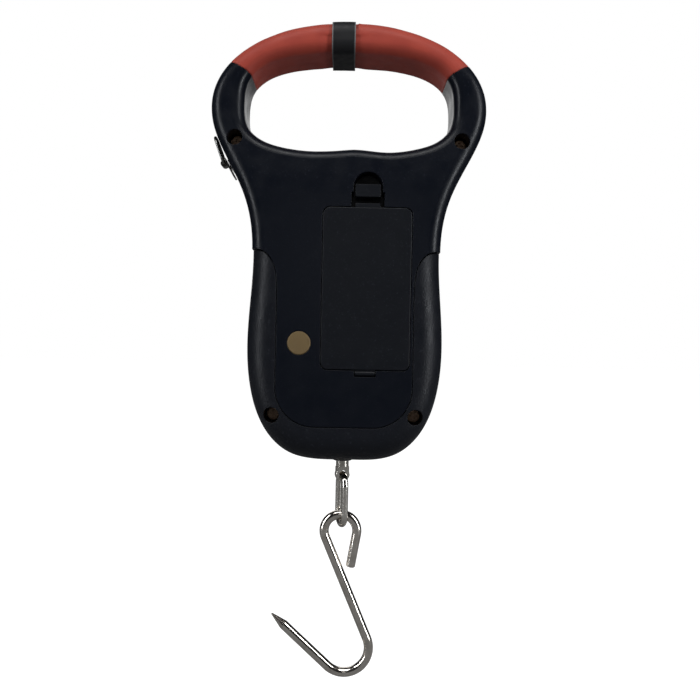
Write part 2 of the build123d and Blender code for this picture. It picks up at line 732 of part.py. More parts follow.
def make_battery_latch():
    """U-shaped spring strip on the door's upper edge, ending in a finger tab."""
    wall = LATCH_THICK / 2
    near_z = DOOR_TOP_Z + wall + NOTCH_GAP
    far_z = SLOT_TOP_Z - TAB_DROP - wall
    middle = (near_z + far_z) / 2
    bend = (far_z - near_z) / 2
    low_y = BODY_DEPTH - POCKET_DEPTH + LATCH_FLOOR_GAP + bend + wall
    tab_low = BODY_DEPTH - TAB_DROP - LATCH_THICK
    tab_high = BODY_DEPTH - TAB_DROP
    half = LATCH_WIDTH / 2
    outside = latch_bow(half, low_y, tab_high, middle, bend + wall)
    inside = latch_bow(half + CUT, low_y, BODY_DEPTH + CUT, middle, bend - wall)
    tab = bay_block(half, tab_low, tab_high, middle + bend - wall, far_z + TAB_LENGTH)
    foot = bay_block(half, tab_low, tab_high, DOOR_TOP_Z + LATCH_ROOT_GAP, near_z + wall)
    return outside - inside + tab + foot


def make_magnet():
    """Round magnet with a small bevel, flush with the rear face."""
    disc = rod(magnet_place(BODY_DEPTH - MAGNET_THICK), magnet_place(BODY_DEPTH), MAGNET_RADIUS)
    rim = disc.edges().sort_by(Axis.Y)[-1]
    return chamfer(rim, MAGNET_BEVEL)


def cell_places():
    offset = CELL_RADIUS + CELL_GAP / 2
    return [BAY_X - offset, BAY_X + offset]


def make_batteries():
    """Two AAA cells, end to end opposite ways."""
    cells = []
    for x, way in zip(cell_places(), (1, -1)):
        low = BAY_Z - way * CELL_LENGTH / 2
        top = BAY_Z + way * CELL_LENGTH / 2
        can = rod((x, CELL_Y, low), (x, CELL_Y, top - way * NUB_LENGTH), CELL_RADIUS)
        can = fillet(can.edges().filter_by(GeomType.CIRCLE), CELL_ROUND)
        nub = rod((x, CELL_Y, low + way * CELL_LENGTH / 2), (x, CELL_Y, top), NUB_RADIUS)
        cells.append(can + nub)
    return cells


def make_battery_contacts():
    """Sprung steel plates at both ends of the bay."""
    half = BAY_HALF - CELL_SEAT_GAP
    reach = CELL_RADIUS * CONTACT_REACH
    top = BAY_Z + BAY_LENGTH / 2
    low = BAY_Z - BAY_LENGTH / 2
    plates = [block(BAY_X - half, BAY_X + half, CELL_Y - reach, CELL_Y + reach, low, low + CONTACT_THICK)]
    for x in cell_places():
        wide = CELL_RADIUS * CONTACT_REACH
        plates.append(block(x - wide, x + wide, CELL_Y - reach, CELL_Y + reach, top - CONTACT_THICK, top))
    return plates


def make_battery_springs():
    """A coil spring at the flat end of each cell."""
    springs = []
    for x, way in zip(cell_places(), (1, -1)):
        plate = BAY_Z - way * (BAY_LENGTH / 2 - CONTACT_THICK - SPRING_WIRE)
        cell = BAY_Z - way * (CELL_LENGTH / 2 + SPRING_WIRE)
        height = abs(cell - plate)
        coil = Helix(height / SPRING_TURNS, height, SPRING_RADIUS)
        section = Plane(coil @ 0, z_dir=coil % 0) * Circle(SPRING_WIRE)
        spring = sweep(section, path=coil)
        turn = Pos(x, CELL_Y, plate) * Rot(0 if way > 0 else 180, 0, 0)
        springs.append(turn * spring)
    return springs


def make_load_cell():
    """Aluminium beam with a thinned stretch on each side of the stem."""
    half = BEAM_DEPTH / 2
    beam = block(-BEAM_HALF, BEAM_HALF, -half, half, BEAM_LOW_Z, BEAM_TOP_Z)
    beam = fillet(beam.edges().filter_by(Axis.Y), BEAM_ROUND)
    radius = BEAM_HEIGHT / 2 - FLEX_WEB
    for side in (1, -1):
        x = side * FLEX_X
        for end in (1, -1):
            x_end = x + end * (FLEX_HALF - radius)
            beam -= rod((x_end, -half - CUT, BEAM_Z), (x_end, half + CUT, BEAM_Z), radius)
        x_screw = side * BEAM_SCREW_X
        beam -= rod((x_screw, -half - CUT, BEAM_Z), (x_screw, half + CUT, BEAM_Z), BEAM_SCREW_RADIUS)
    bore = STEM_RADIUS + STEM_CLEARANCE
    return beam - rod((0, 0, BEAM_LOW_Z - CUT), (0, 0, BEAM_TOP_Z + CUT), bore)


def make_load_cell_screws():
    reach = BODY_DEPTH - FACE_WALL - BEAM_SCREW_END - SCREW_END_GAP + BEAM_DEPTH / 2
    size = (BEAM_SCREW_RADIUS, reach, BEAM_SCREW_HEAD, BEAM_SCREW_HEAD_HEIGHT)
    front = -BEAM_DEPTH / 2
    return [make_screw((side * BEAM_SCREW_X, front, BEAM_Z), (0, -1, 0), *size) for side in (1, -1)]


def make_strain_gauges():
    """Four foil gauges, above and below each thinned stretch."""
    films = []
    long = GAUGE_LENGTH / 2
    half = GAUGE_WIDTH / 2
    for x in (FLEX_X, -FLEX_X):
        for z in (BEAM_TOP_Z, BEAM_LOW_Z - GAUGE_THICK):
            films.append(block(x - long, x + long, -half, half, z, z + GAUGE_THICK))
    return films


def bent_wire(points, radii, radius):
    """A wire of straight runs joined by arcs."""
    path = FilletPolyline(*points, radius=radii)
    section = Plane(path @ 0, z_dir=path % 0) * Circle(radius)
    return sweep(section, path=path)


def make_gauge_wires():
    """Leads from the gauges up to the board."""
    wires = []
    board_z = BOARD_LOW_Z + GAUGE_WIRE_IN
    turn_z = BEAM_TOP_Z + GAUGE_WIRE_RISE
    for side in (1, -1):
        for step in (0, 1):
            x = side * (FLEX_X + GAUGE_WIRE_X + GAUGE_WIRE_PITCH * step)
            points = [
                (x, GAUGE_WIRE_Y, BEAM_TOP_Z + NEAR),
                (x, GAUGE_WIRE_Y, turn_z),
                (x, BOARD_Y + WIRE_STAND, board_z),
                (x, BOARD_Y, board_z),
            ]
            wires.append(bent_wire(points, [WIRE_BEND * 2, WIRE_BEND], WIRE_RADIUS))
    return wires


def make_battery_wires():
    """Two leads from the upper contacts, over the top of the bay to the board."""
    wires = []
    y = BAY_FLOOR_Y + BATTERY_WIRE_IN
    z = BAY_Z + BAY_LENGTH / 2 + BAY_WALL
    turn_z = z + 2 * WIRE_BEND
    for x in cell_places():
        wires.append(bent_wire([(x, y, z), (x, y, turn_z), (x, BOARD_Y, turn_z)], [WIRE_BEND], WIRE_RADIUS))
    return wires


def make_stem_bushing():
    """Flanged sleeve held between the casing halves, with a lip showing below."""
    bore = STEM_RADIUS + STEM_CLEARANCE
    seat = BASE_INSIDE_Z + FIT_GAP
    low = BASE_Z - BUSHING_LIP
    high = seat + BUSHING_FLANGE
    sleeve = rod((0, 0, low), (0, 0, seat), BUSHING_RADIUS)
    flange = rod((0, 0, seat), (0, 0, high), BUSHING_FLANGE_RADIUS)
    return sleeve + flange - rod((0, 0, low - CUT), (0, 0, high + CUT), bore)


def make_hook_stem():
    """Round stem, flattened at its lower end round an eye."""
    top = BEAM_TOP_Z + WASHER_THICK + NUT_HEIGHT + STEM_ABOVE_NUT
    bar = rod((0, 0, FLAT_TOP_Z), (0, 0, top), STEM_RADIUS)
    bar = chamfer(bar.edges().sort_by(Axis.Z)[-1], STEM_BEVEL)
    half = EYE_THICK / 2
    flat = block(-EYE_OUTER, EYE_OUTER, -half, half, EYE_Z, FLAT_TOP_Z)
    shoulder = rod((0, 0, EYE_Z), (0, 0, FLAT_TOP_Z), EYE_OUTER)
    eye = rod((0, -half, EYE_Z), (0, half, EYE_Z), EYE_OUTER)
    eye = fillet(eye.edges().filter_by(GeomType.CIRCLE), EYE_ROUND)
    lower = (flat & shoulder) + eye
    lower -= rod((0, -half - CUT, EYE_Z), (0, half + CUT, EYE_Z), EYE_HOLE)
    return Rot(0, 0, LINK_YAW) * (bar + lower)


def make_stem_nut():
    z = BEAM_TOP_Z + WASHER_THICK
    nut = Pos(0, 0, z) * extrude(RegularPolygon(NUT_ACROSS / 2, 6, major_radius=False), NUT_HEIGHT)
    return nut - rod((0, 0, z - CUT), (0, 0, z + NUT_HEIGHT + CUT), STEM_RADIUS)


def make_stem_washer():
    high = BEAM_TOP_Z + WASHER_THICK
    washer = rod((0, 0, BEAM_TOP_Z), (0, 0, high), WASHER_RADIUS)
    return washer - rod((0, 0, BEAM_TOP_Z - CUT), (0, 0, high + CUT), STEM_RADIUS)


def make_link():
    """Oval wire link through the eye."""
    top = EYE_Z - LINK_HALF
    low = LINK_LOW_Z + LINK_WIRE + LINK_HALF
    turn = Solid.make_torus(LINK_HALF, LINK_WIRE, Plane((0, 0, top), z_dir=(1, 0, 0)))
    above = block(-MARGIN, MARGIN, -MARGIN, MARGIN, top, top + MARGIN)
    below = block(-MARGIN, MARGIN, -MARGIN, MARGIN, low - MARGIN, low)
    ring = (turn & above) + (Pos(0, 0, low - top) * turn & below)
    for side in (1, -1):
        ring += rod((0, side * LINK_HALF, low), (0, side * LINK_HALF, top), LINK_WIRE)
    return Rot(0, 0, LINK_YAW) * ring


def tangent_angle(centre, radius, outside, side):
    """Angle on a circle where a line from an outside point touches it."""
    dx = outside[0] - centre[0]
    dz = outside[1] - centre[1]
    return atan2(dz, dx) + side * acos(radius / hypot(dx, dz))


def on_circle(centre, radius, angle):
    return (centre[0] + radius * cos(angle), centre[1] + radius * sin(angle))


def hook_path():
    """Centre line of the hook, from the cut end over the loop, down the shank and round the bend."""
    loop = (HOOK_LOOP_X, HOOK_LOOP_Z)
    bend = (HOOK_BEND_X, HOOK_BEND_Z)
    short_end = (HOOK_SHORT_X, HOOK_SHORT_Z)
    tip = (HOOK_TIP_X, HOOK_TIP_Z)
    start = tangent_angle(loop, HOOK_LOOP_RADIUS, short_end, -1)
    dx = bend[0] - loop[0]
    dz = bend[1] - loop[1]
    cross = acos((HOOK_LOOP_RADIUS + HOOK_BEND_RADIUS) / hypot(dx, dz))
    leave = atan2(dz, dx) + cross
    arrive = leave + pi
    last = tangent_angle(bend, HOOK_BEND_RADIUS, tip, -1)
    p1 = on_circle(loop, HOOK_LOOP_RADIUS, start)
    p2 = on_circle(loop, HOOK_LOOP_RADIUS, leave)
    p3 = on_circle(bend, HOOK_BEND_RADIUS, arrive)
    p4 = on_circle(bend, HOOK_BEND_RADIUS, last)
    over = on_circle(loop, HOOK_LOOP_RADIUS, pi / 2)
    half_turn = (last - arrive) % (2 * pi) / 2
    under = on_circle(bend, HOOK_BEND_RADIUS, arrive + half_turn)
    length = hypot(tip[0] - p4[0], tip[1] - p4[1])
    share = 1 - HOOK_POINT_LENGTH / length
    base = (p4[0] + share * (tip[0] - p4[0]), p4[1] + share * (tip[1] - p4[1]))
    path = Line(short_end, p1) + ThreePointArc(p1, over, p2) + Line(p2, p3)
    path += ThreePointArc(p3, under, p4) + Line(p4, base)
    return path, base, tip


def make_hook():
    """S-hook of round wire with a ground point."""
    path, base, tip = hook_path()
    path = Plane.XZ * path
    section = Plane(path @ 0, z_dir=path % 0) * Circle(HOOK_WIRE)
    body = sweep(section, path=path)
    axis = Vector(tip[0] - base[0], 0, tip[1] - base[1])
    plane = Plane((base[0], 0, base[1]), z_dir=axis)
    point = Solid.make_cone(HOOK_WIRE, HOOK_POINT_RADIUS, HOOK_POINT_LENGTH, plane)
    hook = body + point
    cut_end = hook.edges().filter_by(GeomType.CIRCLE).sort_by(lambda e: (e.center() - (path @ 0)).length)[0]
    return chamfer(cut_end, HOOK_END_BEVEL)


def make_display_bezel():
    """Raised plate round the window and the buttons."""
    middle = (BEZEL_TOP_Z + BEZEL_LOW_Z) / 2
    height = BEZEL_TOP_Z - BEZEL_LOW_Z
    front = -BODY_DEPTH - BEZEL_THICK
    plate = rounded_slab(0, middle, 2 * BEZEL_HALF, height, BEZEL_CORNER, front, -BODY_DEPTH)
    plate = chamfer([e for e in plate.edges() if e.bounding_box().max.Y < front + NEAR], BEZEL_BEVEL)
    back = -BODY_DEPTH + CUT
    plate -= rounded_slab(0, GLASS_Z, WINDOW_WIDTH, WINDOW_HEIGHT, WINDOW_CORNER, front - CUT, back)
    for x in button_places().values():
        plate -= rod((x, front - CUT, BUTTON_Z), (x, back, BUTTON_Z), BUTTON_RADIUS + BUTTON_GAP)
    return plate


def make_display_window():
    """Clear window set into the front casing under the bezel."""
    return window_slab(WINDOW_LIP - FIT_GAP, -BODY_DEPTH, -BODY_DEPTH + WINDOW_THICK)


def make_lcd_panel():
    low = FRONT_INSIDE_Y + FIT_GAP
    half = GLASS_WIDTH / 2
    tall = GLASS_HEIGHT / 2
    return block(-half, half, low, low + GLASS_THICK, GLASS_Z - tall, GLASS_Z + tall)


def make_lcd_backlight():
    low = FRONT_INSIDE_Y + FIT_GAP + GLASS_THICK
    high = BOARD_Y - BOARD_THICK
    half_x = GLASS_WIDTH / 2 - LIGHT_IN
    half_z = GLASS_HEIGHT / 2 - STRIP_WIDTH - LIGHT_IN
    return block(-half_x, half_x, low, high, GLASS_Z - half_z, GLASS_Z + half_z)


def make_contact_strips():
    """Two conductive rubber strips from the glass to the board."""
    low = FRONT_INSIDE_Y + FIT_GAP + GLASS_THICK
    high = BOARD_Y - BOARD_THICK
    half_x = GLASS_WIDTH / 2 - LIGHT_IN
    strips = []
    for side in (1, -1):
        edge = GLASS_Z + side * (GLASS_HEIGHT / 2 - STRIP_IN)
        inner = edge - side * STRIP_WIDTH
        strips.append(block(-half_x, half_x, low, high, min(edge, inner), max(edge, inner)))
    return strips


def make_lcd_frame():
    """Plastic frame that holds the glass against the window."""
    low = FRONT_INSIDE_Y
    high = BOARD_Y - BOARD_THICK
    inner_x = GLASS_WIDTH / 2 + FIT_GAP
    inner_z = GLASS_HEIGHT / 2 + FIT_GAP
    outer_x = inner_x + FRAME_WALL
    outer_z = inner_z + FRAME_WALL
    frame = block(-outer_x, outer_x, low, high, GLASS_Z - outer_z, GLASS_Z + outer_z)
    frame -= block(-inner_x, inner_x, low - CUT, high + CUT, GLASS_Z - inner_z, GLASS_Z + inner_z)
    for x, z in board_screw_places():
        frame -= rod((x, low - CUT, z), (x, high + CUT, z), BOARD_POST_RADIUS + FIT_GAP)
    return frame


def make_main_board():
    front = BOARD_Y - BOARD_THICK
    board = block(-BOARD_HALF, BOARD_HALF, front, BOARD_Y, BOARD_LOW_Z, BOARD_TOP_Z)
    board = fillet(board.edges().filter_by(Axis.Y), BOARD_CORNER)
    for x, z in board_screw_places():
        board -= rod((x, front - CUT, z), (x, BOARD_Y + CUT, z), BOARD_SCREW_RADIUS)
    return board


def make_board_screws():
    reach = BOARD_Y - FRONT_INSIDE_Y - BOARD_SCREW_END
    size = (BOARD_SCREW_RADIUS, reach, BOARD_SCREW_HEAD, BOARD_HEAD_HEIGHT)
    return [make_screw((x, BOARD_Y, z), (0, 1, 0), *size) for x, z in board_screw_places()]


def make_board_components():
    """Measuring chip, controller and a few small parts on the rear of the board."""
    middle = (BOARD_TOP_Z + BOARD_LOW_Z) / 2
    pieces = []
    for x, z, width, height, thick in CHIPS:
        pieces.append(Pos(x, BOARD_Y + thick / 2, middle + z) * Box(width, thick, height))
    x, z, radius, tall = CAPACITOR
    pieces.append(rod((x, BOARD_Y, middle + z), (x, BOARD_Y + tall, middle + z), radius))
    return pieces


def make_tact_switches():
    """A small push switch behind each button."""
    switches = []
    front = BOARD_Y - BOARD_THICK
    half = SWITCH_SIZE / 2
    for x in button_places().values():
        can = block(x - half, x + half, front - SWITCH_HEIGHT, front, BUTTON_Z - half, BUTTON_Z + half)
        can += rod((x, front - SWITCH_HEIGHT - PLUNGER_PROUD, BUTTON_Z), (x, front, BUTTON_Z), PLUNGER_RADIUS)
        switches.append(can)
    return switches


def make_button(x):
    """Round key cap with a flange that keeps it behind the wall."""
    front = -BODY_DEPTH - BEZEL_THICK - BUTTON_PROUD
    flange = FRONT_INSIDE_Y + FIT_GAP
    cap = rod((x, front, BUTTON_Z), (x, flange + BUTTON_FLANGE, BUTTON_Z), BUTTON_RADIUS)
    cap = fillet(cap.edges().sort_by(Axis.Y)[0], BUTTON_ROUND)
    return cap + rod((x, flange, BUTTON_Z), (x, flange + BUTTON_FLANGE, BUTTON_Z), BUTTON_FLANGE_RADIUS)


def reel(radius, y_low, y_high):
    """A disc on the tape reel's axis."""
    return rod((REEL_X, y_low, REEL_Z), (REEL_X, y_high, REEL_Z), radius)


def tape_slot():
    """The flat way that the tape slides out along."""
    half = TAPE_WIDTH / 2 + SLOT_SIDE_GAP
    tall = MOUTH_SLOT / 2
    return block(REEL_X, MOUTH_POINT.X + MARGIN, -half, half, TAPE_Z - tall, TAPE_Z + tall)


def make_tape_case():
    """Round cup that the tape spool turns in, with a slot where the tape leaves."""
    cup = reel(CASE_RADIUS, -CASE_HALF_DEPTH + CASE_WALL, CASE_HALF_DEPTH)
    cup -= reel(CASE_RADIUS - CASE_WALL, -CASE_HALF_DEPTH, CASE_HALF_DEPTH - CASE_WALL)
    return cup - tape_slot() - reel(HUB_BORE - SPINDLE_CLEARANCE, 0, CASE_HALF_DEPTH + CUT)


def make_tape_case_cover():
    cover = reel(CASE_RADIUS, -CASE_HALF_DEPTH, -CASE_HALF_DEPTH + CASE_WALL)
    return cover - reel(HUB_BORE - SPINDLE_CLEARANCE, -CASE_HALF_DEPTH - CUT, 0)


def make_tape_spindle():
    return reel(HUB_BORE - SPINDLE_CLEARANCE, -CASE_HALF_DEPTH, CASE_HALF_DEPTH)


def make_tape_spool():
    """Hollow hub with two flanges; its web turns on the spindle."""
    spool = reel(HUB_RADIUS, -SPOOL_HALF, SPOOL_HALF)
    for low in (-SPOOL_HALF, SPOOL_HALF - SPOOL_FLANGE):
        spool += reel(SPOOL_FLANGE_RADIUS, low, low + SPOOL_FLANGE)
    spool -= reel(HUB_RADIUS - HUB_WALL, -SPOOL_HALF - CUT, SPOOL_HALF - HUB_WEB)
    return spool - reel(HUB_BORE, -SPOOL_HALF - CUT, SPOOL_HALF + CUT)


def make_tape_coil():
    """The wound tape, as one ring of its outer shape."""
    coil = reel(COIL_RADIUS, -TAPE_WIDTH / 2, TAPE_WIDTH / 2)
    return coil - reel(HUB_RADIUS, -TAPE_WIDTH, TAPE_WIDTH)


def make_tape_spring():
    """Spiral return spring inside the hub."""
    steps = int(RETURN_TURNS * RETURN_SAMPLES)
    points = []
    for i in range(steps + 1):
        angle = 2 * pi * RETURN_TURNS * i / steps
        radius = RETURN_INNER + (RETURN_OUTER - RETURN_INNER) * i / steps
        points.append((radius * cos(angle), radius * sin(angle)))
    outer = []
    for x, z in points:
        grow = 1 + RETURN_THICK / hypot(x, z)
        outer.append((x * grow, z * grow))
    edges = Spline(points) + Line(points[-1], outer[-1]) + Spline(outer) + Line(outer[0], points[0])
    strip = slab(make_face(edges), -SPOOL_HALF + HUB_WEB / 2, SPOOL_HALF - HUB_WEB - HUB_WALL)
    return Pos(REEL_X, 0, REEL_Z) * strip


def make_tape_mouth():
    """Plastic mouth in the side wall that the tape slides through."""
    trim = slab(inset(OUTLINE, -MOUTH_PROUD), -BODY_DEPTH, BODY_DEPTH)
    return (tape_mouth_hole(-MOUTH_FIT) & trim) - tape_slot()


def on_mouth(up, out):
    """A point beside the mouth: up along the wall and out from it."""
    place = MOUTH_PLANE.origin + MOUTH_ALONG * up + MOUTH_OUT * out
    return (place.X, place.Y, place.Z)


def make_tape_blade():
    """The flat tape between the coil and the end tab."""
    half = TAPE_WIDTH / 2
    reach = on_mouth(0, END_TAB_GAP + MOUTH_PROUD)[0] + FIT_GAP
    return block(REEL_X, reach, -half, half, TAPE_Z - TAPE_THICK / 2, TAPE_Z + TAPE_THICK / 2)


def tab_bar(up, out, half, radius):
    """A bar along Y beside the mouth."""
    x, _, z = on_mouth(up, out)
    return rod((x, -half, z), (x, half, z), radius)


def tab_block(up_low, up_high, out_low, out_high, half):
    """A block on the wall beside the mouth."""
    corners = [(up_low, out_low), (up_high, out_low), (up_high, out_high), (up_low, out_high)]
    points = []
    for up, out in corners:
        x, _, z = on_mouth(up, out)
        points.append((x, z))
    return slab(make_face(Polyline(points, close=True)), -half, half)


def make_tape_end_tab():
    """Bent metal stop on the end of the tape, with a lug for the pull ring."""
    low = END_TAB_GAP + MOUTH_PROUD
    plate = tab_block(-END_TAB_DOWN, END_TAB_UP, low, low + END_TAB_THICK, END_TAB_WIDTH / 2)
    plate = fillet(plate.edges().filter_by(lambda e: abs((e % 0.5).dot(MOUTH_OUT)) > 1 - NEAR), RING_CORNER)
    hinge = low + RING_STAND
    lug_radius = RING_WIRE + LUG_WALL
    lug = tab_bar(RING_HINGE_UP, hinge, LUG_HALF, lug_radius)
    lug += tab_block(RING_HINGE_UP - lug_radius, RING_HINGE_UP + lug_radius, low + FIT_GAP, hinge, LUG_HALF)
    return plate + lug - tab_bar(RING_HINGE_UP, hinge, END_TAB_WIDTH, RING_WIRE + RING_CLEARANCE)


def make_tape_ring():
    """Pull ring: a closed wire loop that turns in the lug and leans on the casing's side."""
    hinge = END_TAB_GAP + MOUTH_PROUD + RING_STAND
    lean = radians(RING_LEAN)
    out = MOUTH_OUT * cos(lean) + MOUTH_ALONG * sin(lean)
    plane = Plane(origin=on_mouth(RING_HINGE_UP, hinge), x_dir=(0, 1, 0), z_dir=out)
    way = 1 if plane.y_dir.dot(MOUTH_ALONG) > 0 else -1
    half = RING_HALF
    long = RING_LENGTH - RING_HALF
    path = Line((0, 0), (half - RING_CORNER, 0))
    path += TangentArc([(half - RING_CORNER, 0), (half, way * RING_CORNER)], tangent=(1, 0))
    path += Line((half, way * RING_CORNER), (half, way * long))
    path += ThreePointArc((half, way * long), (0, way * (long + half)), (-half, way * long))
    path += Line((-half, way * long), (-half, way * RING_CORNER))
    path += TangentArc([(-half, way * RING_CORNER), (RING_CORNER - half, 0)], tangent=(0, -way))
    path += Line((RING_CORNER - half, 0), (0, 0))
    path = plane * path
    section = Plane(path @ 0, z_dir=path % 0) * Circle(RING_WIRE)
    return sweep(section, path=path)


def build_parts():
    """Every piece of the scale by name."""
    parts = {
        "front_shell": make_front_shell(),
        "rear_shell": make_rear_shell(),
        "rear_bumper": bored_bumper(),
        "front_bumper": mirror(make_bumper(), Plane.XZ),
        "handle_grip": make_handle_grip(),
        "grip_band": make_grip_band(),
        "casing_screws": make_casing_screws(),
        "parking_magnet": make_magnet(),
        "battery_door": make_battery_door(),
        "battery_latch": make_battery_latch(),
        "batteries": make_batteries(),
        "battery_contacts": make_battery_contacts(),
        "battery_springs": make_battery_springs(),
        "battery_wires": make_battery_wires(),
        "load_cell": make_load_cell(),
        "load_cell_screws": make_load_cell_screws(),
        "strain_gauges": make_strain_gauges(),
        "gauge_wires": make_gauge_wires(),
        "stem_bushing": make_stem_bushing(),
        "hook_stem": make_hook_stem(),
        "stem_nut": make_stem_nut(),
        "stem_washer": make_stem_washer(),
        "link_ring": make_link(),
        "s_hook": make_hook(),
        "display_bezel": make_display_bezel(),
        "display_window": make_display_window(),
        "lcd_panel": make_lcd_panel(),
        "lcd_backlight": make_lcd_backlight(),
        "lcd_frame": make_lcd_frame(),
        "contact_strips": make_contact_strips(),
        "main_board": make_main_board(),
        "board_screws": make_board_screws(),
        "board_components": make_board_components(),
        "tact_switches": make_tact_switches(),
        "tape_case": make_tape_case(),
        "tape_case_cover": make_tape_case_cover(),
        "tape_spindle": make_tape_spindle(),
        "tape_spool": make_tape_spool(),
        "tape_coil": make_tape_coil(),
        "tape_spring": make_tape_spring(),
        "tape_mouth": make_tape_mouth(),
        "tape_blade": make_tape_blade(),
        "tape_end_tab": make_tape_end_tab(),
        "tape_ring": make_tape_ring(),
    }
    for name, x in button_places().items():
        parts[name] = make_button(x)
    return parts


def write_parts():
    """One STEP file for each piece; a group of identical pieces shares one."""
    os.makedirs("parts", exist_ok=True)
    for name, shape in build_parts().items():
        pieces = shape if isinstance(shape, list) else [shape]
        solids = [solid for piece in pieces for solid in piece.solids()]
        export_step(solids[0] if len(solids) == 1 else Compound(solids), "parts/" + name + ".step")


write_parts()
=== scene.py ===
import math

import bmesh
import bpy
from mathutils import Matrix, Vector, noise


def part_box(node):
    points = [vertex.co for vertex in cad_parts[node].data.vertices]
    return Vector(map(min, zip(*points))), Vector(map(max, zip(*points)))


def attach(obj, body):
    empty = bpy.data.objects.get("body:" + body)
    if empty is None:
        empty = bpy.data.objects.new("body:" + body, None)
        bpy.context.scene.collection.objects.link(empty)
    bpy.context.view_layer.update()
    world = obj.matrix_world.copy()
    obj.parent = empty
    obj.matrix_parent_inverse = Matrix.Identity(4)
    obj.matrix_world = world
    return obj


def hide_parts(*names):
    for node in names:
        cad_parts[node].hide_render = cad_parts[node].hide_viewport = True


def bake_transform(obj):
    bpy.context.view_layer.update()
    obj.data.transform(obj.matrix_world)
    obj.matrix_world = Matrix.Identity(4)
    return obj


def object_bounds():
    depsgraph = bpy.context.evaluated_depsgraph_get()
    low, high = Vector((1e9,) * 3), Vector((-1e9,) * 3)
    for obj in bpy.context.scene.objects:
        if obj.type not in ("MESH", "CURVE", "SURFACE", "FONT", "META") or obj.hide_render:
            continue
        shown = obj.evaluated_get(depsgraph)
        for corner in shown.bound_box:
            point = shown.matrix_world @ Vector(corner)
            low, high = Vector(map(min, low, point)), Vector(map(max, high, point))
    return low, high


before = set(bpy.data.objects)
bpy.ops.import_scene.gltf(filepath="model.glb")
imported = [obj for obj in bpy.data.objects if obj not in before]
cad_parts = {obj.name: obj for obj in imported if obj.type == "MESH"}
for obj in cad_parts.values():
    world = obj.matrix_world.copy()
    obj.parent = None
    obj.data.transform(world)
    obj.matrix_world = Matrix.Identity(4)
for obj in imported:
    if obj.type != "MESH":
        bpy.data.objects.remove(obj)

cad_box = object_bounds()
MM = 0.001

# --- Camera: behind the scale, level, with the small roll that the scale hangs at in the view

CAMERA_DISTANCE = 0.270
FRAME_WIDTH = 0.2415          # width of the picture at the casing's middle plane
CAMERA_X = -0.0019
CAMERA_Z = -0.0995
CAMERA_ROLL = math.radians(1.1)
SENSOR = 36.0                 # millimetres, as the lens
NEAR_CLIP = 0.01


def make_camera():
    """Sets the camera behind the scale, so that its middle plane fills the frame width."""
    data = bpy.data.cameras.new("camera")
    data.sensor_width = SENSOR
    data.lens = SENSOR * CAMERA_DISTANCE / FRAME_WIDTH
    data.clip_start = NEAR_CLIP
    camera = bpy.data.objects.new("camera", data)
    bpy.context.scene.collection.objects.link(camera)
    facing = Matrix.Rotation(math.pi, 4, "Z") @ Matrix.Rotation(math.pi / 2, 4, "X")
    place = Matrix.Translation((CAMERA_X, CAMERA_DISTANCE, CAMERA_Z))
    camera.matrix_world = place @ facing @ Matrix.Rotation(CAMERA_ROLL, 4, "Z")
    bpy.context.scene.camera = camera


# --- Surroundings: white to the eye, dim to everything else, so that dark parts stay dark

WORLD_LIGHT = 0.022
FLOOR_LIGHT = 0.02
FLOOR_GREY = 0.20
FLOOR_DROP = 0.004            # from the hook's lowest point to the floor
FLOOR_HALF = 6.0
MIDDLE = (0, 0, CAMERA_Z)     # what the lights point at
COOL_WHITE = (0.93, 0.96, 1.0)
STRIP = (0.10, 0.80)


def make_world():
    """White to the camera, and a very dim white as light."""
    world = bpy.data.worlds.new("studio")
    bpy.context.scene.world = world
    world.use_nodes = True
    nodes = world.node_tree.nodes
    links = world.node_tree.links
    nodes.clear()
    out = nodes.new("ShaderNodeOutputWorld")
    mix = nodes.new("ShaderNodeMixShader")
    path = nodes.new("ShaderNodeLightPath")
    light = nodes.new("ShaderNodeBackground")
    seen = nodes.new("ShaderNodeBackground")
    light.inputs["Color"].default_value = (0.97, 0.98, 1.0, 1)
    light.inputs["Strength"].default_value = WORLD_LIGHT
    seen.inputs["Color"].default_value = (1, 1, 1, 1)
    seen.inputs["Strength"].default_value = 1.0
    links.new(path.outputs["Is Camera Ray"], mix.inputs[0])
    links.new(light.outputs[0], mix.inputs[1])
    links.new(seen.outputs[0], mix.inputs[2])
    links.new(mix.outputs[0], out.inputs["Surface"])


def make_light(name, place, size, power, colour=(1, 1, 1)):
    """A flat lamp that faces the middle of the scale."""
    data = bpy.data.lights.new(name, "AREA")
    data.shape = "RECTANGLE"
    data.size = size[0]
    data.size_y = size[1]
    data.energy = power
    data.color = colour
    lamp = bpy.data.objects.new(name, data)
    bpy.context.scene.collection.objects.link(lamp)
    lamp.location = place
    lamp.rotation_euler = (Vector(MIDDLE) - Vector(place)).to_track_quat("-Z", "Y").to_euler()


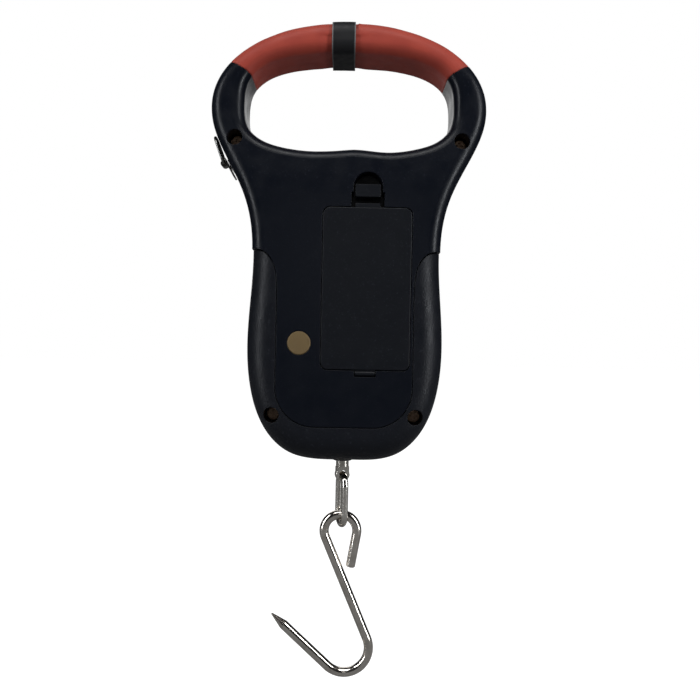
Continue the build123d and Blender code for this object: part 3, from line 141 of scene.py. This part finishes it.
def make_floor():
    """A pale floor under the hook that the camera sees as white."""
    low = cad_box[0][2] - FLOOR_DROP
    half = FLOOR_HALF
    mesh = bpy.data.meshes.new("floor")
    corners = [(-half, -half, low), (half, -half, low), (half, half, low), (-half, half, low)]
    mesh.from_pydata(corners, [], [(0, 1, 2, 3)])
    floor = bpy.data.objects.new("floor", mesh)
    bpy.context.scene.collection.objects.link(floor)
    material = bpy.data.materials.new("floor_paper")
    material.use_nodes = True
    nodes = material.node_tree.nodes
    links = material.node_tree.links
    shader = nodes["Principled BSDF"]
    shader.inputs["Base Color"].default_value = (FLOOR_GREY, FLOOR_GREY, FLOOR_GREY, 1)
    shader.inputs["Roughness"].default_value = 0.9
    shader.inputs["Specular IOR Level"].default_value = 0.1
    shader.inputs["Emission Color"].default_value = (1, 1, 1, 1)
    path = nodes.new("ShaderNodeLightPath")
    glow = nodes.new("ShaderNodeMapRange")
    glow.inputs["To Min"].default_value = FLOOR_LIGHT
    glow.inputs["To Max"].default_value = 1.0
    links.new(path.outputs["Is Camera Ray"], glow.inputs["Value"])
    links.new(glow.outputs[0], shader.inputs["Emission Strength"])
    mesh.materials.append(material)


make_camera()
make_world()
make_floor()
make_light("top_key", (0.05, 0.42, 0.62), (0.60, 0.30), 4.2)
make_light("left_strip", (0.55, 0.30, -0.02), STRIP, 3.4, COOL_WHITE)
make_light("right_strip", (-0.55, 0.30, -0.02), STRIP, 4.8, COOL_WHITE)
make_light("well_fill", (0.0, 0.45, -0.02), (0.06, 0.06), 0.035)
make_light("front_fill", (0.1, -0.9, 0.35), (0.8, 0.8), 2.5)
bpy.context.scene.view_settings.view_transform = "Standard"


# --- Materials

CUT_EDGE = 0.00045            # width of the light edge where the band was cut
BEVEL_SAMPLES = 6


class Surface:
    """A material whose colour, roughness and relief are built from noise in the piece's own metres."""

    def __init__(self, name, colour, roughness, metallic=0.0, specular=0.5, edge=0.0):
        self.material = bpy.data.materials.new(name)
        self.material.use_nodes = True
        self.nodes = self.material.node_tree.nodes
        self.links = self.material.node_tree.links
        self.shader = self.nodes["Principled BSDF"]
        self.colour = colour
        self.shader.inputs["Base Color"].default_value = (*colour, 1)
        self.shader.inputs["Roughness"].default_value = roughness
        self.shader.inputs["Metallic"].default_value = metallic
        self.shader.inputs["Specular IOR Level"].default_value = specular
        self.place = self.nodes.new("ShaderNodeTexCoord").outputs["Object"]
        self.normal = None
        if edge:
            self.soften(edge)

    def soften(self, edge):
        """Shades edges as if rounded by a radius in millimetres."""
        bevel = self.nodes.new("ShaderNodeBevel")
        bevel.samples = BEVEL_SAMPLES
        bevel.inputs["Radius"].default_value = edge * MM
        self.normal = bevel.outputs[0]
        self.links.new(self.normal, self.shader.inputs["Normal"])

    def ramp_across(self, start, stop):
        """A value that runs from 0 to 1 between two places along X, in metres."""
        parts = self.nodes.new("ShaderNodeSeparateXYZ")
        self.links.new(self.place, parts.inputs[0])
        return self.spread(parts.outputs["X"], 0.0, 1.0, start, stop)

    def noise(self, size, detail=2.0, stretch=None):
        """Noise whose blotches are about size millimetres across."""
        texture = self.nodes.new("ShaderNodeTexNoise")
        texture.inputs["Scale"].default_value = 1.0 / (size * MM)
        texture.inputs["Detail"].default_value = detail
        source = self.place
        if stretch:
            mapping = self.nodes.new("ShaderNodeMapping")
            mapping.inputs["Scale"].default_value = stretch
            self.links.new(source, mapping.inputs["Vector"])
            source = mapping.outputs[0]
        self.links.new(source, texture.inputs["Vector"])
        return texture.outputs["Fac"]

    def spread(self, source, low, high, start=0.35, stop=0.65):
        """A value that runs from low to high as source runs from start to stop."""
        span = self.nodes.new("ShaderNodeMapRange")
        span.inputs["From Min"].default_value = start
        span.inputs["From Max"].default_value = stop
        span.inputs["To Min"].default_value = low
        span.inputs["To Max"].default_value = high
        self.links.new(source, span.inputs["Value"])
        return span.outputs[0]

    def relief(self, source, height, strength=1.0):
        """Adds relief of a height in millimetres on top of what is there."""
        bump = self.nodes.new("ShaderNodeBump")
        bump.inputs["Distance"].default_value = height * MM
        bump.inputs["Strength"].default_value = strength
        self.links.new(source, bump.inputs["Height"])
        if self.normal is not None:
            self.links.new(self.normal, bump.inputs["Normal"])
        self.normal = bump.outputs[0]
        self.links.new(self.normal, self.shader.inputs["Normal"])

    def tint(self, source, other):
        """Mixes the base colour with another where source is high."""
        mix = self.nodes.new("ShaderNodeMix")
        mix.data_type = "RGBA"
        mix.inputs["A"].default_value = (*self.colour, 1)
        mix.inputs["B"].default_value = (*other, 1)
        self.links.new(source, mix.inputs["Factor"])
        self.links.new(mix.outputs["Result"], self.shader.inputs["Base Color"])

    def vary_roughness(self, source, low, high):
        """Runs the roughness from low to high with source."""
        self.links.new(self.spread(source, low, high), self.shader.inputs["Roughness"])


def moulded_plastic(name, colour, lighter, roughness, grain, height, edge):
    """Black plastic with a grain of a size and height in millimetres, and faint lighter specks."""
    surface = Surface(name, colour, roughness, specular=0.15, edge=edge)
    surface.relief(surface.noise(grain, 3.0), height)
    surface.relief(surface.noise(18.0, 1.0), 0.05, strength=0.25)
    surface.vary_roughness(surface.noise(6.0, 4.0), roughness - 0.05, roughness + 0.06)
    surface.tint(surface.spread(surface.noise(grain * 1.7, 2.0), 0.0, 1.0, 0.62, 0.80), lighter)
    return surface.material


def soft_rubber(name, colour, other):
    """Dull rubber with a fine grain."""
    surface = Surface(name, colour, 0.50, specular=0.14)
    surface.shader.inputs["Sheen Weight"].default_value = 0.03
    surface.shader.inputs["Sheen Roughness"].default_value = 0.5
    surface.relief(surface.noise(0.25, 3.0), 0.012)
    surface.vary_roughness(surface.noise(4.0, 3.0), 0.44, 0.56)
    surface.tint(surface.spread(surface.noise(9.0, 4.0), 0.0, 1.0, 0.40, 0.70), other)
    return surface.material


def black_band(name, colour, cut_colour):
    """A black sheet whose two cut edges show lighter."""
    low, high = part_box("grip_band")
    surface = Surface(name, colour, 0.50, specular=0.2)
    surface.relief(surface.noise(0.5, 2.0), 0.008)
    surface.vary_roughness(surface.noise(2.5, 3.0), 0.45, 0.58)
    near_low = surface.ramp_across(low[0] + CUT_EDGE, low[0] + CUT_EDGE / 2)
    near_high = surface.ramp_across(high[0] - CUT_EDGE, high[0] - CUT_EDGE / 2)
    either = surface.nodes.new("ShaderNodeMath")
    either.operation = "MAXIMUM"
    surface.links.new(near_low, either.inputs[0])
    surface.links.new(near_high, either.inputs[1])
    surface.tint(either.outputs[0], cut_colour)
    return surface.material


def polished_metal(name, colour, other, roughness, streak=None):
    """Bare metal; its marks are drawn out along the axis where streak is small."""
    surface = Surface(name, colour, roughness, metallic=1.0)
    surface.vary_roughness(surface.noise(1.6, 5.0, streak), roughness * 0.7, roughness * 1.5)
    surface.relief(surface.noise(0.5, 2.0, streak), 0.004)
    surface.tint(surface.spread(surface.noise(3.0, 4.0), 0.0, 1.0, 0.45, 0.75), other)
    return surface.material


def dull_metal(name, colour, other):
    """Coated metal that has lost its shine."""
    surface = Surface(name, colour, 0.45, metallic=0.25, edge=0.2)
    surface.relief(surface.noise(0.3, 3.0, (1, 1, 0.3)), 0.006)
    surface.vary_roughness(surface.noise(1.2, 4.0), 0.38, 0.55)
    surface.tint(surface.spread(surface.noise(6.0, 3.0), 0.0, 1.0, 0.30, 0.80), other)
    return surface.material


def plain_plastic(name, colour, other, roughness):
    """Smooth moulded plastic, also used for painted and printed parts."""
    surface = Surface(name, colour, roughness)
    surface.relief(surface.noise(0.4, 2.0), 0.008)
    surface.vary_roughness(surface.noise(3.0, 3.0), roughness - 0.04, roughness + 0.05)
    surface.tint(surface.spread(surface.noise(2.0, 3.0), 0.0, 1.0, 0.45, 0.75), other)
    return surface.material


def clear_window(name, colour, roughness):
    """Clear acrylic."""
    surface = Surface(name, colour, roughness)
    surface.shader.inputs["Transmission Weight"].default_value = 0.9
    surface.shader.inputs["IOR"].default_value = 1.49
    surface.relief(surface.noise(12.0, 1.0), 0.01)
    return surface.material


case_black = moulded_plastic(
    "case_black", (0.0026, 0.0036, 0.0064), (0.013, 0.015, 0.021),
    roughness=0.33, grain=0.32, height=0.020, edge=0.25,
)
bumper_black = moulded_plastic(
    "bumper_black", (0.0052, 0.0060, 0.0085), (0.016, 0.018, 0.023),
    roughness=0.40, grain=0.60, height=0.100, edge=0.30,
)
door_black = moulded_plastic(
    "door_black", (0.0044, 0.0052, 0.0072), (0.017, 0.019, 0.024),
    roughness=0.40, grain=0.30, height=0.020, edge=0.25,
)
grip_red = soft_rubber("grip_red", (0.300, 0.046, 0.030), (0.255, 0.038, 0.026))
band_sheet = black_band("band_sheet", (0.008, 0.008, 0.009), (0.12, 0.12, 0.12))
key_grey = soft_rubber("key_grey", (0.10, 0.10, 0.11), (0.08, 0.08, 0.09))
strip_pink = soft_rubber("strip_pink", (0.60, 0.20, 0.28), (0.50, 0.15, 0.22))
bezel_gloss = plain_plastic("bezel_gloss", (0.008, 0.009, 0.012), (0.012, 0.013, 0.016), 0.12)
frame_grey = plain_plastic("frame_grey", (0.28, 0.28, 0.27), (0.24, 0.24, 0.23), 0.45)
inner_black = plain_plastic("inner_black", (0.012, 0.012, 0.013), (0.018, 0.018, 0.020), 0.40)
board_green = plain_plastic("board_green", (0.010, 0.090, 0.028), (0.016, 0.120, 0.040), 0.30)
light_white = plain_plastic("light_white", (0.62, 0.70, 0.58), (0.56, 0.64, 0.52), 0.35)
wire_red = plain_plastic("wire_red", (0.30, 0.02, 0.015), (0.24, 0.016, 0.012), 0.35)
sleeve_dark = plain_plastic("sleeve_dark", (0.020, 0.022, 0.028), (0.028, 0.030, 0.036), 0.25)
tape_yellow = plain_plastic("tape_yellow", (0.74, 0.56, 0.07), (0.66, 0.49, 0.06), 0.30)
lcd_green = plain_plastic("lcd_green", (0.20, 0.24, 0.16), (0.18, 0.22, 0.15), 0.10)
window_clear = clear_window("window_clear", (0.92, 0.95, 0.94), 0.03)
screw_dark = dull_metal("screw_dark", (0.62, 0.42, 0.28), (0.40, 0.26, 0.17))
steel_bright = polished_metal("steel_bright", (0.60, 0.60, 0.58), (0.50, 0.50, 0.48), 0.28)
nickel = polished_metal("nickel", (0.66, 0.63, 0.58), (0.52, 0.49, 0.44), 0.11)
tab_steel = polished_metal("tab_steel", (0.20, 0.20, 0.19), (0.10, 0.10, 0.10), 0.24)
hook_steel = polished_metal("hook_steel", (0.64, 0.60, 0.55), (0.50, 0.46, 0.41), 0.12, (1, 1, 0.15))
magnet_disc = dull_metal("magnet_disc", (0.150, 0.102, 0.044), (0.125, 0.084, 0.036))
aluminium = polished_metal("aluminium", (0.72, 0.72, 0.73), (0.64, 0.64, 0.65), 0.30, (0.2, 1, 1))
brass_foil = polished_metal("brass_foil", (0.62, 0.38, 0.14), (0.52, 0.30, 0.10), 0.35)
spring_blue = polished_metal("spring_blue", (0.10, 0.11, 0.16), (0.07, 0.07, 0.10), 0.25)

# which CAD nodes each material covers
LOOKS = {
    case_black: ("front_shell", "rear_shell"),
    bumper_black: ("front_bumper", "rear_bumper"),
    door_black: ("battery_door", "battery_latch"),
    grip_red: ("handle_grip",),
    key_grey: ("unit_button", "power_button", "tare_button"),
    strip_pink: ("contact_strips",),
    bezel_gloss: ("display_bezel",),
    frame_grey: ("lcd_frame",),
    inner_black: (
        "stem_bushing", "tape_case", "tape_case_cover", "tape_spool", "tape_mouth", "board_components",
    ),
    band_sheet: ("grip_band",),
    board_green: ("main_board",),
    light_white: ("lcd_backlight",),
    wire_red: ("battery_wires", "gauge_wires"),
    sleeve_dark: ("batteries",),
    tape_yellow: ("tape_coil", "tape_blade"),
    lcd_green: ("lcd_panel",),
    window_clear: ("display_window",),
    screw_dark: ("casing_screws",),
    steel_bright: (
        "board_screws", "load_cell_screws", "battery_contacts", "battery_springs", "stem_nut", "stem_washer",
        "tape_spindle", "tact_switches",
    ),
    nickel: ("hook_stem", "link_ring"),
    tab_steel: ("tape_end_tab", "tape_ring"),
    hook_steel: ("s_hook",),
    magnet_disc: ("parking_magnet",),
    aluminium: ("load_cell",),
    brass_foil: ("strain_gauges",),
    spring_blue: ("tape_spring",),
}


def dress(node, material):
    """Gives a CAD node one material."""
    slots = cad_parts[node].data.materials
    slots.clear()
    slots.append(material)


for look, names in LOOKS.items():
    for name in names:
        dress(name, look)

# --- The rubber grip: the band squeezes it, and a small lip stands up beside the band

GRIP_VOXEL = 0.00045
SQUEEZE = 0.00045             # how far the band presses the rubber in
SQUEEZE_REACH = 0.0030
SQUEEZE_ABOVE = 0.25          # share of the squeeze on the upper half
LIP = 0.00035
LIP_REACH = 0.00045
LIP_STEP = 0.0011             # from the band's edge to the lip
LIP_BEND = 0.0012             # how far the lip curves away from the band
LIP_BEND_HEIGHT = 0.5         # heights run from 0 at the grip's middle to 1 at the band's top
LIP_HEIGHT = 0.60
LIP_SPAN = 0.25
WAVE = 0.00008
WAVE_RATE = 160               # waves in a metre
LEVEL_HALF = 0.010            # the grip's middle line is level this far to each side
FALL = 9.0                    # and beyond it falls by this times the square of the distance
SMOOTHING = 0.5
SMOOTH_STEPS = 3


def copy_mesh(node, name):
    """A new piece with the shape of a CAD node."""
    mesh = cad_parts[node].data.copy()
    mesh.name = name
    piece = bpy.data.objects.new(name, mesh)
    bpy.context.scene.collection.objects.link(piece)
    return piece


def apply_modifiers(piece):
    """Gives a piece the mesh that its modifiers make."""
    bpy.context.view_layer.update()
    solved = piece.evaluated_get(bpy.context.evaluated_depsgraph_get())
    mesh = bpy.data.meshes.new_from_object(solved)
    piece.modifiers.clear()
    piece.data = mesh


def bell(distance, reach):
    """1 at no distance, and nearly 0 at twice the reach."""
    return math.exp(-((distance / reach) ** 2))


def grip_shift(place, band_low, band_high, middle_z, top):
    """How far the rubber at a place stands out from its plain shape."""
    past = max(band_low - place.x, place.x - band_high, 0.0)
    height = (place.z - middle_z) / (top - middle_z)
    shift = -SQUEEZE * bell(past, SQUEEZE_REACH) * (SQUEEZE_ABOVE if height > 0 else 1.0)
    if place.y > 0 and height > 0:
        bend = LIP_BEND * (height - LIP_BEND_HEIGHT) ** 2
        lip_x = band_low - LIP_STEP - bend
        fade = bell(height - LIP_HEIGHT, LIP_SPAN)
        shift += LIP * fade * bell(place.x - lip_x, LIP_REACH)
        shift -= LIP * fade * bell(place.x - lip_x - 2 * LIP_REACH, LIP_REACH)
    return shift + WAVE * noise.noise(place * WAVE_RATE)


def make_grip():
    """The soft sleeve on the handle, made from the CAD grip by an even remesh and a relief."""
    piece = copy_mesh("handle_grip", "grip_sleeve")
    remesh = piece.modifiers.new("remesh", "REMESH")
    remesh.mode = "VOXEL"
    remesh.voxel_size = GRIP_VOXEL
    smooth = piece.modifiers.new("smooth", "SMOOTH")
    smooth.factor = SMOOTHING
    smooth.iterations = SMOOTH_STEPS
    apply_modifiers(piece)
    band_low, band_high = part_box("grip_band")
    mesh = piece.data
    places = [vertex.co.copy() for vertex in mesh.vertices]
    ways = [vertex.normal.copy() for vertex in mesh.vertices]
    grip_middle = (band_low[2] + band_high[2]) / 2
    for vertex, place, way in zip(mesh.vertices, places, ways):
        drop = FALL * max(0.0, abs(place.x) - LEVEL_HALF) ** 2
        centre = Vector((place.x, 0, grip_middle - drop))
        if (place - centre).dot(way) > 0:
            shift = grip_shift(place, band_low[0], band_high[0], grip_middle, band_high[2])
            vertex.co = place + way * shift
    for face in mesh.polygons:
        face.use_smooth = True
    mesh.materials.clear()
    mesh.materials.append(grip_red)
    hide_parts("handle_grip")
    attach(piece, "casing")


# --- The tape between the reel and its end tab, which on the real scale draws out when pulled; this strip is built at its rest length

TAPE_PARTS = 80
TAPE_ACROSS = 8
TAPE_CUP = 0.00012            # how far the tape is hollowed across its width


def make_tape():
    """A cupped strip of closed mesh that stretches between the casing and the end tab."""
    low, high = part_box("tape_blade")
    builder = bmesh.new()
    middle = (low[1] + high[1]) / 2
    half = (high[1] - low[1]) / 2
    sides = []
    for level in (low[2], high[2]):
        rows = []
        for i in range(TAPE_PARTS + 1):
            x = low[0] + (high[0] - low[0]) * i / TAPE_PARTS
            row = []
            for j in range(TAPE_ACROSS + 1):
                across = 2 * j / TAPE_ACROSS - 1
                row.append(builder.verts.new((x, middle + half * across, level + TAPE_CUP * across ** 2)))
            rows.append(row)
        sides.append(rows)
    under, over = sides
    for i in range(TAPE_PARTS):
        for j in range(TAPE_ACROSS):
            builder.faces.new((over[i][j], over[i + 1][j], over[i + 1][j + 1], over[i][j + 1]))
            builder.faces.new((under[i][j], under[i][j + 1], under[i + 1][j + 1], under[i + 1][j]))
        for j in (0, TAPE_ACROSS):
            builder.faces.new((under[i][j], under[i + 1][j], over[i + 1][j], over[i][j]))
    for i in (0, TAPE_PARTS):
        for j in range(TAPE_ACROSS):
            builder.faces.new((under[i][j], over[i][j], over[i][j + 1], under[i][j + 1]))
    bmesh.ops.recalc_face_normals(builder, faces=builder.faces)
    mesh = bpy.data.meshes.new("tape_strip")
    builder.to_mesh(mesh)
    builder.free()
    mesh.materials.append(tape_yellow)
    piece = bpy.data.objects.new("tape_strip", mesh)
    bpy.context.scene.collection.objects.link(piece)
    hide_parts("tape_blade")
    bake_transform(piece)


make_grip()
make_tape()
